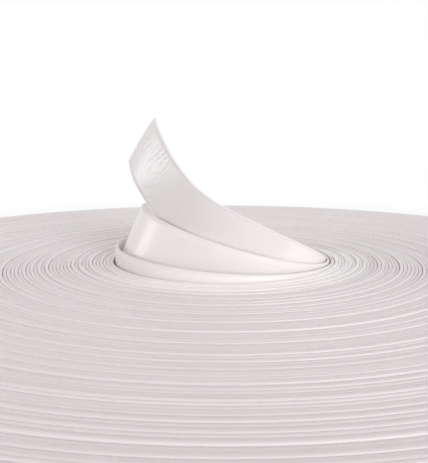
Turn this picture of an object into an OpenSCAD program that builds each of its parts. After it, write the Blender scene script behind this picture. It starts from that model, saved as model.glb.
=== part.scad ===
// Coil of lay-flat tree guard tube, wound flat without a core. The tube's folded edges
// show on top of the pack, and its inner turns are pulled up out of the eye at one side.
// The tube travels inwards clockwise, seen from above, and leaves the pack at +X.

/* [Tube] */
// Width of the tube while it lies flat
tube_w = 40; // [34:1:48]
// Thickness of one wall of the tube
wall = 1.15; // [0.95:0.05:1.3]
// Radius of the tube's folded edges
fold_r = 0.8; // [0.5:0.1:0.9]
// How far the two walls stand apart at the cut end
mouth = 1.2; // [0.6:0.1:2]

/* [Pack] */
// Radius of the eye that the winding mandrel leaves
eye_r = 75; // [68:1:90]
// Turns in each wound band
band_turns = 6; // [4:1:8]
// How far the first turn and a half of each band stand above the floor and the other turns
proud = 1; // [0:0.1:1.5]
// How far the next two turns of a band stand above the floor
uneven = 0.3; // [0:0.05:0.6]
// Clearance between two bands
band_gap = 0.2; // [0.1:0.05:0.4]

/* [First lifted turn] */
// Rise of the first turn's far side
rise_first = 10.4; // [6:0.2:16]
// Clearance between the first turn's far side and the pack
far_gap_first = 1.5; // [1.2:0.1:2.5]

/* [Second lifted turn] */
// Rise of the second turn's far side
rise_second = 39; // [30:1:46]
// Lean of the second turn where it begins, beside the pack
lean_second = 4; // [2:0.5:6]
// Inward lean of the second turn's far side
far_lean_second = 24; // [21:0.5:26]
// Inward lean of the second turn over the front, towards the free turn
front_lean_second = 2.5; // [0:0.5:3]
// Clearance between the far sides of the first and second turns
far_gap_second = 0.5; // [0.4:0.1:1.5]

/* [Free turn] */
// Rise of the cut end above the pack
rise_free = 100; // [80:1:115]
// Angle round the eye from the pack's side to the cut end
free_angle = 165; // [158:1:170]
// How fast the free turn climbs: 1 is a steady slope, 2 stays low and then rears up
climb = 1.38; // [1.34:0.02:1.5]
// Outward lean of the free turn where it begins, kept over the front of the eye
lean_free = 9.5; // [8:0.5:11]
// Inward lean that the free turn would have on the far side of the eye
far_lean_free = 17.8; // [15:0.1:20]
// Angle round the eye at which the free turn begins to lean inwards
lean_from = 98; // [95:1:104]
// Angle round the eye at which the free turn begins to curl inwards
curl_from = 40; // [30:1:44]
// Angle round the eye at which the free turn has curled in
curl_to = 150; // [145:1:160]
// Distance from the eye's wall to the free turn once it has curled in
far_inset_free = 21; // [20.5:0.5:25]
// Angle round the eye at which the tail of the free turn bends
bend_at = 95; // [85:1:105]

/* [Clearances] */
// Clearance round the first turn where it leaves the pack
pack_clear = 0.3; // [0.3:0.05:0.5]
// Clearance between the upper edges of the turns, stacked at the pack's side
seat_gap = 0.6; // [0.5:0.05:0.8]
// Gap between the end faces of two pieces of the tube that twist on each other
twist_gap = 0.3; // [0.2:0.05:0.4]
// Gap between the end faces at the tail's bend
bend_gap = 0.5; // [0.5:0.05:0.8]

/* [Hidden] */

tube_t = 2 * wall;                               // thickness of the flattened tube
band_pitch = band_turns * tube_t + band_gap;
seat_z = tube_w / 2 + proud;                     // middle of the tube where it leaves the pack
leave_r = eye_r + tube_t / 2 - pack_clear;       // its distance from the axis there
stack = tube_t + seat_gap;

lean_at_seat = [0, lean_second, lean_free];
far_lean = [0, far_lean_second, far_lean_free];
seat_r = [for (i = [0:2]) leave_r - i * stack - tube_w / 2 * sin(lean_at_seat[i])];
first_far_r = eye_r - tube_t / 2 - far_gap_first;
second_far_r = first_far_r - tube_t - far_gap_second - tube_w / 2 * sin(far_lean_second);
far_r = [first_far_r, second_far_r, eye_r - far_inset_free];

station_step = 6;                                // degrees between cross-sections
wall_points = 5;                                 // points along each wall of a cross-section
lumen_from = 60;                                 // angle at which the two walls begin to part
pack_colour = [0.85, 0.83, 0.83];
turn_colour = [0.93, 0.91, 0.91];

// ---- Course of the lifted turns: turn 0 leaves the pack, turn 2 ends at the cut ----

function ease(from, to, u) = from + (to - from) * (1 - cos(180 * max(0, min(1, u)))) / 2;

function turn_r(i, a) =
    i == 2 ? ease(seat_r[2], far_r[2], (a - curl_from) / (curl_to - curl_from))
    : a < 180 ? ease(seat_r[i], far_r[i], a / 180)
    : ease(far_r[i], seat_r[i + 1], a / 180 - 1);

function turn_rise(i, a) =
    i == 2 ? rise_free * pow(max(0, a - 1) / (free_angle - 1), climb)
    : (i == 1 ? rise_second : rise_first) * (1 - cos(a)) / 2;

function front_lean(i, a) = i == 1 ? front_lean_second * pow(sin(min(180, 1.3 * a)), 2) : 0;

function turn_lean(i, a) =
    i == 2 ? ease(-lean_free, far_lean_free, (a - lean_from) / (180 - lean_from))
    : a < 180 ? front_lean(i, a) - cos(a) * ease(lean_at_seat[i], far_lean[i], a / 180)
    : -cos(a) * ease(far_lean[i], lean_at_seat[i + 1], a / 180 - 1);

function turn_middle(i, a) =
    [turn_r(i, a) * cos(a), -turn_r(i, a) * sin(a), seat_z + turn_rise(i, a)];

function unit(v) = v / norm(v);

function turn_along(i, a) = unit(turn_middle(i, a + 0.05) - turn_middle(i, a - 0.05));

// Direction of the tube's width, square to its course and leaning inwards by turn_lean.
function turn_up(i, a) =
    let (along = turn_along(i, a), lean = turn_lean(i, a))
    let (d = [-cos(a) * sin(lean), sin(a) * sin(lean), cos(lean)])
    unit(d - (d * along) * along);

// ---- Cross-sections, as [outwards, upwards] from the tube's middle ----

function quarter(x, z, from) =
    [for (i = [0:2]) [x + fold_r * cos(from + 45 * i), z + fold_r * sin(from + 45 * i)]];

// How far one wall bows out where the walls stand apart by gape in the middle.
function bow(z, gape) = gape / 2 * (1 - pow(2 * z / tube_w, 2));

function wall_heights() =
    [for (i = [1:wall_points]) tube_w * (i / (wall_points + 1) - 0.5) * 0.9];

function flat_section(gape = 0) =
    let (x = tube_t / 2 - fold_r, z = tube_w / 2 - fold_r)
    concat(
        quarter(x, -z, -90),
        gape > 0 ? [for (h = wall_heights()) [tube_t / 2 + bow(h, gape), h]] : [],
        quarter(x, z, 0), quarter(-x, z, 90),
        gape > 0 ? [for (h = wall_heights()) [-tube_t / 2 - bow(h, gape), -h]] : [],
        quarter(-x, -z, 180));

function lumen_section(gape) =
    let (top = tube_w / 2 - wall)
    concat([[0, -top]], [for (h = wall_heights()) [bow(h, gape), h]],
        [[0, top]], [for (h = wall_heights()) [-bow(h, gape), -h]]);

function placed(section, i, a, shift = [0, 0, 0]) =
    let (up = turn_up(i, a), out = cross(up, turn_along(i, a)))
    [for (p = section) turn_middle(i, a) + shift + p[0] * out + p[1] * up];

module sweep(rings) {
    n = len(rings[0]);
    last = (len(rings) - 1) * n;
    sides = [
        for (k = [0:len(rings) - 2], j = [0:n - 1])
            let (a = k * n + j, b = k * n + (j + 1) % n)
            each [[a, a + n, b], [b, a + n, b + n]]
    ];
    start_cap = [for (j = [0:n - 1]) j];
    end_cap = [for (j = [n - 1:-1:0]) last + j];
    polyhedron(points = [for (ring = rings) each ring],
        faces = concat(sides, [start_cap], [end_cap]));
}

function stations(from, to) =
    let (count = ceil((to - from) / station_step))
    [for (k = [0:count]) from + (to - from) * k / count];

function gape_at(a) = mouth * pow(a / free_angle, 2);

// ---- Pieces ----

// Height of a half-turn above the floor. It only falls, so neighbours share whole faces.
function half_turn_lift(h) = h < 3 ? proud : h < 7 ? min(uneven, proud) : 0;

// Outline of the half-turns of one band, standing side by side on their folded edges.
// The back half-turns are the even ones, side = 0, and the front ones the odd, side = 1.
function band_outline(r, side) =
    let (raw = concat(
        [for (k = [0:band_turns - 1])
            let (x = r + k * tube_t, z = half_turn_lift(2 * k + side) + fold_r)
            each concat(quarter(x + fold_r, z, 180), quarter(x + tube_t - fold_r, z, 270))],
        [for (k = [band_turns - 1:-1:0])
            let (x = r + k * tube_t, z = half_turn_lift(2 * k + side) + tube_w - fold_r)
            each concat(quarter(x + tube_t - fold_r, z, 0), quarter(x + fold_r, z, 90))]))
    [for (i = [0:len(raw) - 1]) if (i == 0 || norm(raw[i] - raw[i - 1]) > 0.001) raw[i]];

// A wound spiral of true arcs: the front half-turns have their centre half a thickness
// to the right of the back ones, so each turn runs into the next.
module wound_band(number) {
    r = eye_r + (number - 1) * band_pitch;
    color(pack_colour) {
        rotate_extrude(angle = 180, $fn = 120) polygon(band_outline(r, 0));
        translate([tube_t / 2, 0, 0]) rotate([0, 0, 180])
            rotate_extrude(angle = 180, $fn = 120) polygon(band_outline(r + tube_t / 2, 1));
    }
}

module lifted_turn(i) {
    angles = stations(0, 360);
    color(turn_colour)
        sweep([for (a = angles) placed(flat_section(), i, a, [0, a == 0 ? -twist_gap : 0, 0])]);
}

module first_lifted_turn() lifted_turn(0);

module second_lifted_turn() lifted_turn(1);

module free_turn() {
    color(turn_colour) difference() {
        sweep([
            for (a = stations(0, bend_at))
                placed(flat_section(gape_at(max(a, 1))), 2, a, [0, a == 0 ? -twist_gap : 0, 0])
        ]);
        sweep([for (a = stations(lumen_from, bend_at + 1)) placed(lumen_section(gape_at(a)), 2, a)]);
    }
}

module cut_end() {
    gap = turn_along(2, bend_at) * bend_gap;
    color(turn_colour) difference() {
        sweep([
            for (a = stations(bend_at, free_angle))
                placed(flat_section(gape_at(a)), 2, a, a == bend_at ? gap : [0, 0, 0])
        ]);
        sweep([for (a = stations(bend_at - 1, free_angle + 1)) placed(lumen_section(gape_at(a)), 2, a)]);
    }
}

wound_band(1);  // wound_band_01
wound_band(2);  // wound_band_02
wound_band(3);  // wound_band_03
wound_band(4);  // wound_band_04
wound_band(5);  // wound_band_05
wound_band(6);  // wound_band_06
wound_band(7);  // wound_band_07
wound_band(8);  // wound_band_08
wound_band(9);  // wound_band_09
wound_band(10);  // wound_band_10
wound_band(11);  // wound_band_11
wound_band(12);  // wound_band_12
wound_band(13);  // wound_band_13
wound_band(14);  // wound_band_14
wound_band(15);  // wound_band_15
wound_band(16);  // wound_band_16
first_lifted_turn();
second_lifted_turn();
free_turn();
cut_end();
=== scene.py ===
import math
import bpy
import numpy as np
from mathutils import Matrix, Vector


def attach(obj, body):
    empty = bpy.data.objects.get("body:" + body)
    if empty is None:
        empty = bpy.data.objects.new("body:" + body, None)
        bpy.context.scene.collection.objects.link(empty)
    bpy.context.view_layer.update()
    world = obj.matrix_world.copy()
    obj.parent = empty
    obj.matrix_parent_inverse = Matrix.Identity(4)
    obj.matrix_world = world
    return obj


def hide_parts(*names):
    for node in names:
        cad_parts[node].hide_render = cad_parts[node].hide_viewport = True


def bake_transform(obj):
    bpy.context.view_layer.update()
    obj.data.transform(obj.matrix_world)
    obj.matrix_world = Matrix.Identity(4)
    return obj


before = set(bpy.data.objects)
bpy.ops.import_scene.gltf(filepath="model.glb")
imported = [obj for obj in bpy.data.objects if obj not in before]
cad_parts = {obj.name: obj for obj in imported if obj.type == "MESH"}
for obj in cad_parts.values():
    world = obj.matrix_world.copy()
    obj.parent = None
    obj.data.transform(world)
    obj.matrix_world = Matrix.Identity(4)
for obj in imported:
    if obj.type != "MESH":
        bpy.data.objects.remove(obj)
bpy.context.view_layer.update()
print("frame loaded:", len(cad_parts), "solids")


# One socket in a node tree, with Python's operators as Math nodes.
class Wire:
    def __init__(self, tree, socket):
        self.tree, self.socket = tree, socket

    def maths(self, operation, *values, clamp=False):
        settings = {"operation": operation, "use_clamp": clamp}
        return addNode(self.tree, "ShaderNodeMath", settings, list(values))

    def __add__(self, other): return self.maths("ADD", self, other)
    def __radd__(self, other): return self.maths("ADD", other, self)
    def __sub__(self, other): return self.maths("SUBTRACT", self, other)
    def __rsub__(self, other): return self.maths("SUBTRACT", other, self)
    def __mul__(self, other): return self.maths("MULTIPLY", self, other)
    def __rmul__(self, other): return self.maths("MULTIPLY", other, self)
    def __truediv__(self, other): return self.maths("DIVIDE", self, other)
    def __mod__(self, other): return self.maths("FLOORED_MODULO", self, other)
    def __abs__(self): return self.maths("ABSOLUTE", self)
    def floor(self): return self.maths("FLOOR", self)
    def sin(self): return self.maths("SINE", self)
    def cos(self): return self.maths("COSINE", self)
    def atMost(self, other): return self.maths("MINIMUM", self, other)
    def clamped(self): return self.maths("ADD", self, 0, clamp=True)

    def ramp(self, low, high):          # 0 below low, 1 above high, smooth between
        return addNode(self.tree, "ShaderNodeMapRange", {"interpolation_type": "SMOOTHSTEP"},
                       {"Value": self, "From Min": low, "From Max": high})


# Any other node: its type, its settings, then the values or links of its sockets.
# It returns one output, all of them for output="all", or none if the node has none.
def addNode(tree, kind, settings=None, sockets=None, output=0):
    node = tree.nodes.new(kind)
    for key, value in (settings or {}).items():
        setattr(node, key, value)
    pairs = sockets.items() if isinstance(sockets, dict) else enumerate(sockets or [])
    for key, value in pairs:
        if isinstance(value, Wire):
            tree.links.new(value.socket, node.inputs[key])
        else:
            node.inputs[key].default_value = value
    if output == "all":
        return [Wire(tree, socket) for socket in node.outputs]
    return Wire(tree, node.outputs[output]) if node.outputs else None


cameraPlace = {"height": 0.1276, "back": 0.4206, "pitch": 9.76, "lens": 47.82,
               "shiftX": -0.0181, "shiftY": 0.0097, "clipStart": 0.01}


def makeCamera(place):
    camera = bpy.data.objects.new("camera", bpy.data.cameras.new("camera"))
    camera.location = (0, -place["back"], place["height"])
    camera.rotation_euler = (math.radians(90 - place["pitch"]), 0, 0)
    camera.data.lens = place["lens"]
    camera.data.shift_x, camera.data.shift_y = place["shiftX"], place["shiftY"]
    camera.data.clip_start = place["clipStart"]
    bpy.context.collection.objects.link(camera)
    bpy.context.scene.camera = camera


makeCamera(cameraPlace)
print("camera set")


# White film that lets a little light through. Lengths are in metres.
filmLook = {"glow": 0.35, "glowRadius": (1.0, 0.9, 0.85), "glowScale": 0.004, "relief": 0.001}


def newMaterial(name):
    material = bpy.data.materials.new(name)
    material.use_nodes = True
    material.node_tree.nodes.clear()
    return material, material.node_tree


# Sockets 0, 6 and 7 of a Mix node are the factor and the two colours, output 2 the result.
def mixColours(tree, factor, first, second):
    sockets = {0: factor, 6: first if isinstance(first, Wire) else (*first, 1),
               7: second if isinstance(second, Wire) else (*second, 1)}
    return addNode(tree, "ShaderNodeMix", {"data_type": "RGBA"}, sockets, output=2)


def finishMaterial(tree, colour, roughness, height, strength):
    bump = addNode(tree, "ShaderNodeBump", {}, {
        "Strength": strength, "Distance": filmLook["relief"], "Height": height})
    shader = addNode(tree, "ShaderNodeBsdfPrincipled", {}, {
        "Base Color": colour, "Roughness": roughness, "Normal": bump,
        "Subsurface Weight": filmLook["glow"], "Subsurface Radius": filmLook["glowRadius"],
        "Subsurface Scale": filmLook["glowScale"]})
    addNode(tree, "ShaderNodeOutputMaterial", {}, {"Surface": shader})


# The course attribute of a wound turn holds the way along it in metres, a number that sets its
# tone, and how proud it stands. That of a lifted turn holds the way along it, the way across it
# from its middle, and the half-turns covered.
def courseOf(tree):
    course = addNode(tree, "ShaderNodeAttribute", {"attribute_name": "course"},
                     output="Vector")
    return addNode(tree, "ShaderNodeSeparateXYZ", {}, [course], output="all")


def noise(tree, x, y, scale, detail):
    place = addNode(tree, "ShaderNodeCombineXYZ", {}, [x, y])
    return addNode(tree, "ShaderNodeTexNoise", {}, {"Vector": place, "Scale": scale,
                                                    "Detail": detail})


# The streak gives each turn a tone of its own. Base and tint are the film painted greyer than
# the lifted turns, painted shade on the top of the pack. Proud turns and the turns beside the
# eye at the front are painted lighter, painted highlights: the lightening beside the eye ends
# over the distances from the axis in the Away pair, and begins along the side in the Side pair.
woundLook = {"base": (0.765, 0.70, 0.71), "tint": (0.80, 0.735, 0.745),
             "proud": (0.845, 0.79, 0.8), "litNearEye": (0.95, 0.905, 0.905),
             "litNearEyeAway": (0.084, 0.104), "litNearEyeSide": (-0.01, 0.05),
             "litNearEyeTowards": (0.5, -0.87, 0.0), "streakScale": 900, "streakStretch": 0.01,
             "streakGain": 1.4, "streakStart": 0.2, "swellScale": 9, "swell": 0.2,
             "roughness": 0.42, "streakRoughness": 0.05, "bump": 0.3}


def makeWoundFilm(look):
    material, tree = newMaterial("woundFilm")
    along, across, proud = courseOf(tree)
    swell = noise(tree, along, across, look["swellScale"], 2)
    streak = noise(tree, along * look["streakStretch"], across, look["streakScale"], 1)
    tone = (streak * look["streakGain"] - look["streakStart"]).clamped()
    # Painted shade: base and tint are the same film made greyer for the shaded top of the pack.
    colour = mixColours(tree, tone, look["base"], look["tint"])
    # Painted highlight: proud turns are lightened, as though their raised edges caught more
    # light.
    colour = mixColours(tree, proud.clamped(), colour, look["proud"])
    # Painted highlight: the turns beside the eye at the front are lightened, as though more
    # light fell there.
    place = addNode(tree, "ShaderNodeTexCoord", output="Object")
    flat = addNode(tree, "ShaderNodeVectorMath", {"operation": "MULTIPLY"},
                   [place, (1.0, 1.0, 0.0)])
    away = addNode(tree, "ShaderNodeVectorMath", {"operation": "LENGTH"}, [flat],
                   output="Value")
    side = addNode(tree, "ShaderNodeVectorMath", {"operation": "DOT_PRODUCT"},
                   [flat, look["litNearEyeTowards"]], output="Value")
    litNearEye = (1 - away.ramp(*look["litNearEyeAway"])) * side.ramp(*look["litNearEyeSide"])
    colour = mixColours(tree, litNearEye, colour, look["litNearEye"])
    roughness = look["roughness"] + streak * look["streakRoughness"]
    finishMaterial(tree, colour, roughness, swell * look["swell"], look["bump"])
    return material


# Creases across the tube a little before the cut, in metres along the free turn. The half-turns
# from which they are drawn keep them off the front, and patches break them up.
creaseShape = {"first": 0.167, "last": 0.186, "fade": 0.004, "pitch": 0.0042, "slant": 0.3,
               "wobble": 0.0055, "wobbleScale": 110, "depth": 0.5, "lowest": -0.001,
               "patchScale": 60, "patches": (0.35, 0.55), "ridge": (0.3, 1.0),
               "halfTurns": (0.7, 0.72)}


def makeCreases(tree, along, across, turned, shape):
    wobble = noise(tree, along, across, shape["wobbleScale"], 2) * shape["wobble"]
    wave = ((along + across * shape["slant"] + wobble) * (math.tau / shape["pitch"])).sin()
    first, last, fade = shape["first"], shape["last"], shape["fade"]
    window = along.ramp(first - fade, first + fade) * (1 - along.ramp(last - fade, last + fade))
    window = window * across.ramp(shape["lowest"] - fade, shape["lowest"] + fade)
    patchy = noise(tree, along, across, shape["patchScale"], 1).ramp(*shape["patches"])
    ridges = wave.ramp(*shape["ridge"]) * window * patchy
    return ridges * turned.ramp(*shape["halfTurns"]) * shape["depth"]


# "foldFrom" and "calmFrom" run from 0 at the middle of the tube to 1 at its folded edge, and
# "slackFrom" is in half-turns: there the film goes slack and crinkles. The fold colour is
# painted
# shade: it darkens the folded edges against the light they catch.
liftedLook = {"base": (0.86, 0.81, 0.812), "tint": (0.9, 0.865, 0.862), "tintGain": 0.6,
              "fold": (0.78, 0.745, 0.745), "foldFrom": (0.84, 0.97), "calmFrom": (0.84, 0.93),
              "halfWidth": 0.02, "swellScale": 14, "swell": 0.4, "lineScale": 700,
              "lineStretch": 0.08, "line": 0.05, "crinkleScale": 430, "crinkle": 0.45,
              "crinkleSlant": 0.3, "crinkleStretch": 0.35, "slackFrom": (0.68, 0.78),
              "taut": 0.08, "roughness": 0.27, "swellRoughness": 0.06, "foldRoughness": 0.4,
              "bump": 0.5}


def makeLiftedFilm(look):
    material, tree = newMaterial("liftedFilm")
    along, across, turned = courseOf(tree)
    swell = noise(tree, along, across, look["swellScale"], 2)
    lines = noise(tree, along * look["lineStretch"], across, look["lineScale"], 2)
    crinkle = noise(tree, along + across * look["crinkleSlant"],
                    across * look["crinkleStretch"], look["crinkleScale"], 1)
    reach = abs(across) / look["halfWidth"]
    edge = reach.ramp(*look["foldFrom"])
    tone = (swell * look["tintGain"]).clamped()
    colour = mixColours(tree, tone, look["base"], look["tint"])
    # Painted shade: the folded edges are darkened against the light they catch from above.
    colour = mixColours(tree, edge, colour, look["fold"])
    slack = look["taut"] + (1 - look["taut"]) * turned.ramp(*look["slackFrom"])
    creases = makeCreases(tree, along, across, turned, creaseShape)
    relief = lines * look["line"] + swell * look["swell"]
    relief = relief + crinkle * slack * look["crinkle"] + creases
    calm = 1 - reach.ramp(*look["calmFrom"])              # the folds stay smooth
    roughness = look["roughness"] + swell * look["swellRoughness"]
    roughness = roughness + edge * look["foldRoughness"]
    finishMaterial(tree, colour, roughness, relief * calm, look["bump"])
    return material


woundFilm = makeWoundFilm(woundLook)
liftedFilm = makeLiftedFilm(liftedLook)
print("film materials made")


# Wound pack: one node tree makes sixteen bands of turns. Turns in "proudTurns" fall back from
# the proud height, "riseTurns" is the run-in of a band and "runOut" its end, and "share" is
# the least and the added part of the proud height, spread over the bands by "shareStep".
packShape = {"eyeRadius": 0.075, "thickness": 0.0023, "turnsInBand": 6, "bandGap": 0.0002,
             "width": 0.04, "proud": 0.001, "fold": 0.0004, "foldPoints": 3, "seam": 0.00018,
             "stepsInTurn": 120, "bands": 16, "proudTurns": (1.47, 1.53), "riseTurns": 0.05,
             "runOut": 0.1, "share": (0.4, 0.45), "shareStep": 0.4, "uneven": 0.00075,
             "unevenFrom": (0.4, 0.72), "waveInTurn": 1.7, "waveInBand": 31.7,
             "nearest": 1.05, "nearFall": 0.06, "nearBands": 6, "toneInBand": 0.37,
             "toneInHalf": 0.055}


def makeBandTree(shape, film):
    tree = bpy.data.node_groups.new("woundTurns", "GeometryNodeTree")
    sockets = {}
    for name, value in (("Inner radius", shape["eyeRadius"]), ("Start lift", 0.0),
                        ("Seed", 0.0)):
        sockets[name] = tree.interface.new_socket(name=name, in_out="INPUT",
                                                  socket_type="NodeSocketFloat")
        sockets[name].default_value = value
    tree.interface.new_socket(name="Geometry", in_out="OUTPUT",
                              socket_type="NodeSocketGeometry")
    given = addNode(tree, "NodeGroupInput", output="all")
    innerRadius, startLift, seed = given[:len(sockets)]
    turns, thick = shape["turnsInBand"], shape["thickness"]
    line = addNode(tree, "GeometryNodeCurvePrimitiveLine")
    points = addNode(tree, "GeometryNodeResampleCurve", {"mode": "COUNT"},
                     {"Curve": line, "Count": turns * shape["stepsInTurn"] + 1})
    turn = addNode(tree, "GeometryNodeInputIndex") / shape["stepsInTurn"]
    # Half-turns are true arcs about two centres. The small number keeps a whole one whole.
    half = (turn * 2 + 0.0001).floor()
    radius = innerRadius + thick / 2 + half * (thick / 2)
    angle = turn * math.tau
    up = turn.ramp(0, shape["riseTurns"])
    rise = startLift + (1 - startLift) * up
    proud = rise * (1 - turn.ramp(*shape["proudTurns"]))
    wave = addNode(tree, "ShaderNodeTexNoise", {"noise_dimensions": "1D"}, {
        "W": turn * shape["waveInTurn"] + seed * shape["waveInBand"],
        "Scale": 1.0, "Detail": 2.0})
    runOut = turn.ramp(turns - shape["runOut"], turns)
    stray = wave.ramp(*shape["unevenFrom"]) * up * (1 - runOut)
    least, added = shape["share"]
    share = least + added * (seed * shape["shareStep"] % 1)     # some bands stand less proud
    near = shape["nearest"] - shape["nearFall"] * seed.atMost(shape["nearBands"])
    lift = proud * share * shape["proud"] + (1 - proud) * stray * near * shape["uneven"]
    place = addNode(tree, "ShaderNodeCombineXYZ", {}, [
        (half % 2) * (thick / 2) + radius * angle.cos(), radius * angle.sin(),
        lift + shape["width"] / 2])
    course = addNode(tree, "ShaderNodeCombineXYZ", {}, [
        angle * radius, seed * shape["toneInBand"] + half * shape["toneInHalf"],
        lift / shape["proud"]])
    path = addNode(tree, "GeometryNodeSetPosition", {}, {"Geometry": points, "Position": place})
    path = addNode(tree, "GeometryNodeSetCurveNormal", {"mode": "Z_UP"}, {"Curve": path})
    path = addNode(tree, "GeometryNodeStoreNamedAttribute",
                   {"data_type": "FLOAT_VECTOR", "domain": "POINT"},
                   {"Geometry": path, "Name": "course", "Value": course})
    section = addNode(tree, "GeometryNodeCurvePrimitiveQuadrilateral", {}, {
        "Width": thick - shape["seam"], "Height": shape["width"]})
    section = addNode(tree, "GeometryNodeFilletCurve", {"mode": "POLY"}, {
        "Curve": section, "Radius": shape["fold"], "Count": shape["foldPoints"]})
    tube = addNode(tree, "GeometryNodeCurveToMesh", {}, {
        "Curve": path, "Profile Curve": section, "Fill Caps": True})
    tube = addNode(tree, "GeometryNodeRealizeInstances", {}, {"Geometry": tube})
    tube = addNode(tree, "GeometryNodeSetMaterial", {}, {"Geometry": tube, "Material": film})
    addNode(tree, "NodeGroupOutput", {}, [tube])
    return tree, {name: socket.identifier for name, socket in sockets.items()}


def plainMesh(name, tree, values):
    maker = bpy.data.objects.new("maker", bpy.data.meshes.new("maker"))
    bpy.context.collection.objects.link(maker)
    modifier = maker.modifiers.new("turns", "NODES")
    modifier.node_group = tree
    for key, value in values.items():
        modifier[key] = value
    bpy.context.view_layer.update()
    graph = bpy.context.evaluated_depsgraph_get()
    mesh = bpy.data.meshes.new_from_object(maker.evaluated_get(graph))
    mesh.name = name
    maker.modifiers.remove(modifier)
    bpy.data.objects.remove(maker)
    piece = bpy.data.objects.new(name, mesh)
    bpy.context.collection.objects.link(piece)
    mesh.polygons.foreach_set("use_smooth", [True] * len(mesh.polygons))
    return piece


def makePack(shape):
    tree, keys = makeBandTree(shape, woundFilm)
    pitch = shape["turnsInBand"] * shape["thickness"] + shape["bandGap"]
    for number in range(1, shape["bands"] + 1):
        piece = plainMesh(f"wound_turns_{number:02d}", tree, {
            keys["Inner radius"]: shape["eyeRadius"] + (number - 1) * pitch,
            keys["Start lift"]: 1.0 if number == 1 else 0.0,
            keys["Seed"]: float(number)})
        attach(piece, "pack")
        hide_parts(f"wound_band_{number:02d}")
    print("pack wound:", shape["bands"], "bands of", shape["turnsInBand"], "turns")


makePack(packShape)


# Lifted turns: turn 0 leaves the pack, turn 2 ends at the cut. Angles are in degrees round the
# eye, from the side where the tube leaves the pack. The values in brackets are turns 0 to 2.
liftShape = {"width": 0.0396, "wall": 0.00115, "fold": 0.0017, "seatHeight": 0.021,
             "leaveRadius": 0.07585, "stack": 0.0029, "rise": (0.0104, 0.039, 0.1),
             "farRadius": (0.07235, 0.0614153, 0.054), "seatLean": (0, 4, 9.5),
             "farLean": (0, 24, 17.8), "frontLean": 2.5, "frontSwing": 1.3, "leanFrom": 98,
             "curlFrom": 40, "curlTo": 150, "climb": 1.38, "climbFrom": 1, "freeAngle": 165,
             "bendAt": 95, "bendHalf": 12.0, "mouth": 0.0012, "lumenFrom": 60,
             "thinLumen": 0.00001, "twistGap": 0.0003, "step": 1.5, "freeStep": 1.0,
             "wallPoints": 9, "wallReach": 0.94, "foldPoints": 8, "tip": 0.3,
             "freeTip": -0.6, "nudge": 0.0028, "nudgeFrom": 70, "nudgeTo": 134,
             "courseShift": 0.5, "probe": 0.05}


def ease(first, last, u):
    return first + (last - first) * (1 - np.cos(np.pi * np.clip(u, 0, 1))) / 2


def seatRadius(index):
    lean = math.radians(liftShape["seatLean"][index])
    return (liftShape["leaveRadius"] - index * liftShape["stack"]
            - liftShape["width"] / 2 * math.sin(lean))


def turnRadius(index, angle):
    far = liftShape["farRadius"][index]
    if index == 2:
        curlFrom, curlTo = liftShape["curlFrom"], liftShape["curlTo"]
        return ease(seatRadius(2), far, (angle - curlFrom) / (curlTo - curlFrom))
    down = ease(seatRadius(index), far, angle / 180)
    return np.where(angle < 180, down, ease(far, seatRadius(index + 1), angle / 180 - 1))


def turnRise(index, angle):
    rise = liftShape["rise"][index]
    if index == 2:
        start = liftShape["climbFrom"]
        way = np.maximum(0, angle - start) / (liftShape["freeAngle"] - start)
        return rise * way ** liftShape["climb"]
    return rise * (1 - np.cos(np.radians(angle))) / 2


def turnLean(index, angle):
    turned = np.radians(angle)
    seat, far = liftShape["seatLean"][index], liftShape["farLean"][index]
    if index == 2:
        leanFrom = liftShape["leanFrom"]
        return np.radians(ease(-seat, far, (angle - leanFrom) / (180 - leanFrom)))
    after = liftShape["seatLean"][index + 1]
    lean = np.where(angle < 180, ease(seat, far, angle / 180), ease(far, after, angle / 180 - 1))
    swing = np.sin(np.minimum(np.pi, liftShape["frontSwing"] * turned)) ** 2
    front = swing * (liftShape["frontLean"] * index)
    return np.radians(front - np.cos(turned) * lean)


def turnMiddle(index, angle):
    radius, turned = turnRadius(index, angle), np.radians(angle)
    return np.stack([radius * np.cos(turned), -radius * np.sin(turned),
                     liftShape["seatHeight"] + turnRise(index, angle)], axis=1)


def unit(vectors):
    return vectors / np.linalg.norm(vectors, axis=1, keepdims=True)


# Directions along the tube, across it and out of its outer wall.
def turnFrame(index, angle):
    probe = liftShape["probe"]
    along = unit(turnMiddle(index, angle + probe) - turnMiddle(index, angle - probe))
    turned, lean = np.radians(angle), turnLean(index, angle)
    width = np.stack([-np.cos(turned) * np.sin(lean), np.sin(turned) * np.sin(lean),
                      np.cos(lean)], axis=1)
    up = unit(width - np.sum(width * along, axis=1, keepdims=True) * along)
    return along, up, np.cross(up, along)


# Outline of the flattened tube as (outwards, upwards), the same number of points each time.
# The walls stand gape apart in the middle, and the tips of the folds lean inwards by lean.
def tubeSection(gape, lean):
    wall, fold, half = liftShape["wall"], liftShape["fold"], liftShape["width"] / 2
    reach = liftShape["wallReach"]
    heights = np.linspace(-reach, reach, liftShape["wallPoints"]) * (half - fold)
    turned = np.radians(np.linspace(0, 180, 2 * liftShape["foldPoints"] + 1))
    tip = lean * np.sin(turned) ** 2
    top = np.stack([wall * (np.cos(turned) - tip), half - fold + fold * np.sin(turned)], axis=1)
    outer = np.stack([wall + 0 * heights, heights], axis=1)
    section = np.concatenate([outer, top, -outer, top[::-1] * (1, -1)])
    bow = gape / 2 * np.maximum(0, 1 - (section[:, 1] / (half - fold / 2)) ** 2)
    section[:, 0] += bow * np.sign(np.round(section[:, 0], 7))
    return section


# Outline of the space inside the tube, point for point the same as the tube's.
def lumenSection(gape, lean):
    section = tubeSection(gape, lean)
    wall, half = liftShape["wall"], liftShape["width"] / 2
    opened = np.maximum(np.abs(section[:, 0]) - wall, liftShape["thinLumen"])
    opened = opened * np.sign(section[:, 0])
    return np.stack([opened, np.clip(section[:, 1], wall - half, half - wall)], axis=1)


# Angles from first to last, with the last one in.
def stations(first, last, step):
    return np.arange(first, last + step / 100, step)


def gapeAt(angle):
    return liftShape["mouth"] * (angle / liftShape["freeAngle"]) ** 2


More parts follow.
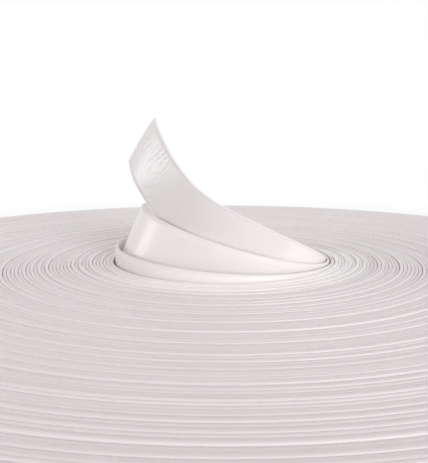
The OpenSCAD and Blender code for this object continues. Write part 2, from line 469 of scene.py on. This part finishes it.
def placeRings(index, angles, sectionAt):
    middle = turnMiddle(index, angles)
    along, up, out = turnFrame(index, angles)
    if index == 2:                     # the free turn lies against the turn outside it
        first, last = liftShape["nudgeFrom"], liftShape["nudgeTo"]
        way = np.clip((angles - first) / (last - first), 0, 1)
        middle = middle + out * (np.sin(np.pi * way) ** 2 * liftShape["nudge"])[:, None]
    rings = []
    for k, angle in enumerate(angles):
        section = sectionAt(angle)
        rings.append(middle[k] + section[:, :1] * out[k] + section[:, 1:] * up[k])
    return np.array(rings)


# Closed skin over the rings: a cap, the quads between neighbours and another cap.
def skin(rings):
    rows, count = rings.shape[:2]
    faces = [tuple(reversed(range(count)))]
    for first in range(0, (rows - 1) * count, count):
        for j in range(count):
            after = (j + 1) % count
            faces.append((first + j, first + after, first + count + after,
                          first + count + j))
    faces.append(tuple((rows - 1) * count + j for j in range(count)))
    return faces


def meshPiece(name, rings, course, film, body, *nodes):
    mesh = bpy.data.meshes.new(name)
    faces = skin(rings)
    mesh.from_pydata([tuple(p) for p in rings.reshape(-1, 3)], [], faces)
    mesh.polygons.foreach_set("use_smooth", [len(f) < 5 for f in faces])    # caps stay flat
    layer = mesh.attributes.new("course", "FLOAT_VECTOR", "POINT")
    layer.data.foreach_set("vector", np.asarray(course, float).ravel())
    mesh.materials.append(film)
    mesh.validate()
    piece = bpy.data.objects.new(name, mesh)
    bpy.context.collection.objects.link(piece)
    if body:
        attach(piece, body)
    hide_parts(*nodes)
    return piece


def courseAlong(rings, section, part):
    middle = rings.mean(axis=1)
    way = np.concatenate([[0], np.cumsum(np.linalg.norm(np.diff(middle, axis=0), axis=1))])
    course = np.zeros((*rings.shape[:2], 3))
    course[..., 0] = way[:, None]
    course[..., 1] = section[None, :, 1]
    course[..., 2] = part[:, None]
    return course


def makeLiftedTurn(index, name, body, node):
    angles = stations(0, 360, liftShape["step"])
    section = tubeSection(0, liftShape["tip"])
    rings = placeRings(index, angles, lambda angle: section)
    rings[0][:, 1] -= liftShape["twistGap"]
    course = courseAlong(rings, section, angles / 180)
    course[..., 0] += (index + 1) * liftShape["courseShift"]   # clear of the creases
    meshPiece(name, rings, course, liftedFilm, body, node)


# The free turn and the cut end are one tube. Its skin runs out to the cut and back inside, as
# far as the walls stand apart.
def makeFreeTube():
    last, step, lean = liftShape["freeAngle"], liftShape["freeStep"], liftShape["freeTip"]
    angles = stations(0, last, step)
    outer = placeRings(2, angles, lambda angle: tubeSection(gapeAt(angle), lean))
    outer[0][:, 1] -= liftShape["twistGap"]
    inside = stations(liftShape["lumenFrom"], last, step)[::-1]
    inner = placeRings(2, inside, lambda angle: lumenSection(gapeAt(angle), lean))
    rings = np.concatenate([outer, inner])
    part = np.concatenate([angles, inside]) / 180
    course = courseAlong(rings, tubeSection(0, lean), part)
    course[len(outer):, :, 0] = course[len(outer) - 1, 0, 0]
    piece = meshPiece("free_tube", rings, course, liftedFilm, None, "free_turn", "cut_end")
    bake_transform(piece)


makeLiftedTurn(0, "first_turn_tube", "first_turn", "first_lifted_turn")
makeLiftedTurn(1, "second_turn_tube", "second_turn", "second_lifted_turn")
makeFreeTube()
print("lifted turns made")


# White floor and background as the camera sees them, with soft light from all round.
studio = {"ambient": 0.7, "ambientColour": (1, 0.99, 0.985, 1), "white": (1, 1, 1, 1),
          "floorSize": 3.0, "floorDrop": 0.0005, "floorColour": (0.95, 0.945, 0.94, 1),
          "floorRoughness": 0.9, "nearWhite": 0.6, "shadowEnds": (0.35, 0.8)}
lamps = {"fill": {"place": (-2.0, -0.3, 0.4), "target": (0, 0, 0.05), "size": 1.2, "power": 2.2},
         "key": {"place": (1.45, -2.1, 0.66), "target": (0, 0, 0.05), "size": 1.4,
                 "power": 33.6},
         "side": {"place": (-1.27, 0.36, 0.23), "target": (-0.05, -0.05, 0.06), "size": 0.34,
                  "power": 1.6}}


def seenDirectly(tree):
    rays = [addNode(tree, "ShaderNodeLightPath", output=name)
            for name in ("Is Camera Ray", "Is Glossy Ray", "Is Transmission Ray")]
    return (rays[0] + rays[1] + rays[2]).clamped()


def makeWorld():
    world = bpy.data.worlds.new("studio")
    bpy.context.scene.world = world
    world.use_nodes = True
    tree = world.node_tree
    tree.nodes.clear()
    white = addNode(tree, "ShaderNodeBackground", {}, {"Color": studio["white"],
                                                       "Strength": 1.0})
    soft = addNode(tree, "ShaderNodeBackground", {}, {"Color": studio["ambientColour"],
                                                      "Strength": studio["ambient"]})
    mixed = addNode(tree, "ShaderNodeMixShader", {}, [seenDirectly(tree), soft, white])
    addNode(tree, "ShaderNodeOutputWorld", {}, {"Surface": mixed})


def makeFloor():
    mesh = bpy.data.meshes.new("floor")
    size, drop = studio["floorSize"], studio["floorDrop"]
    mesh.from_pydata([(x, y, -drop) for x, y in ((-size, -size), (size, -size), (size, size),
                                                 (-size, size))], [], [(0, 1, 2, 3)])
    floor = bpy.data.objects.new("floor", mesh)
    bpy.context.collection.objects.link(floor)
    material, tree = newMaterial("paleFloor")
    plain = addNode(tree, "ShaderNodeBsdfPrincipled", {}, {
        "Base Color": studio["floorColour"], "Roughness": studio["floorRoughness"]})
    white = addNode(tree, "ShaderNodeEmission", {}, {"Color": studio["white"],
                                                     "Strength": 1.0})
    place = addNode(tree, "ShaderNodeTexCoord", output="Object")
    away = addNode(tree, "ShaderNodeVectorMath", {"operation": "LENGTH"}, [place],
                   output="Value")
    near = studio["nearWhite"]                      # the shadow shows close to the coil
    part = near + (1 - near) * away.ramp(*studio["shadowEnds"])
    shader = addNode(tree, "ShaderNodeMixShader", {}, [seenDirectly(tree) * part, plain, white])
    addNode(tree, "ShaderNodeOutputMaterial", {}, {"Surface": shader})
    mesh.materials.append(material)


def makeLamp(name, place, target, size, power):
    lamp = bpy.data.lights.new(name, "AREA")
    lamp.shape, lamp.size, lamp.energy = "DISK", size, power
    holder = bpy.data.objects.new(name, lamp)
    holder.location = place
    aim = Vector(target) - Vector(place)
    holder.rotation_euler = aim.to_track_quat("-Z", "Y").to_euler()
    bpy.context.collection.objects.link(holder)


makeWorld()
makeFloor()
for name, lamp in lamps.items():
    makeLamp(name, **lamp)
bpy.context.scene.view_settings.view_transform = "Standard"
print("studio lit")
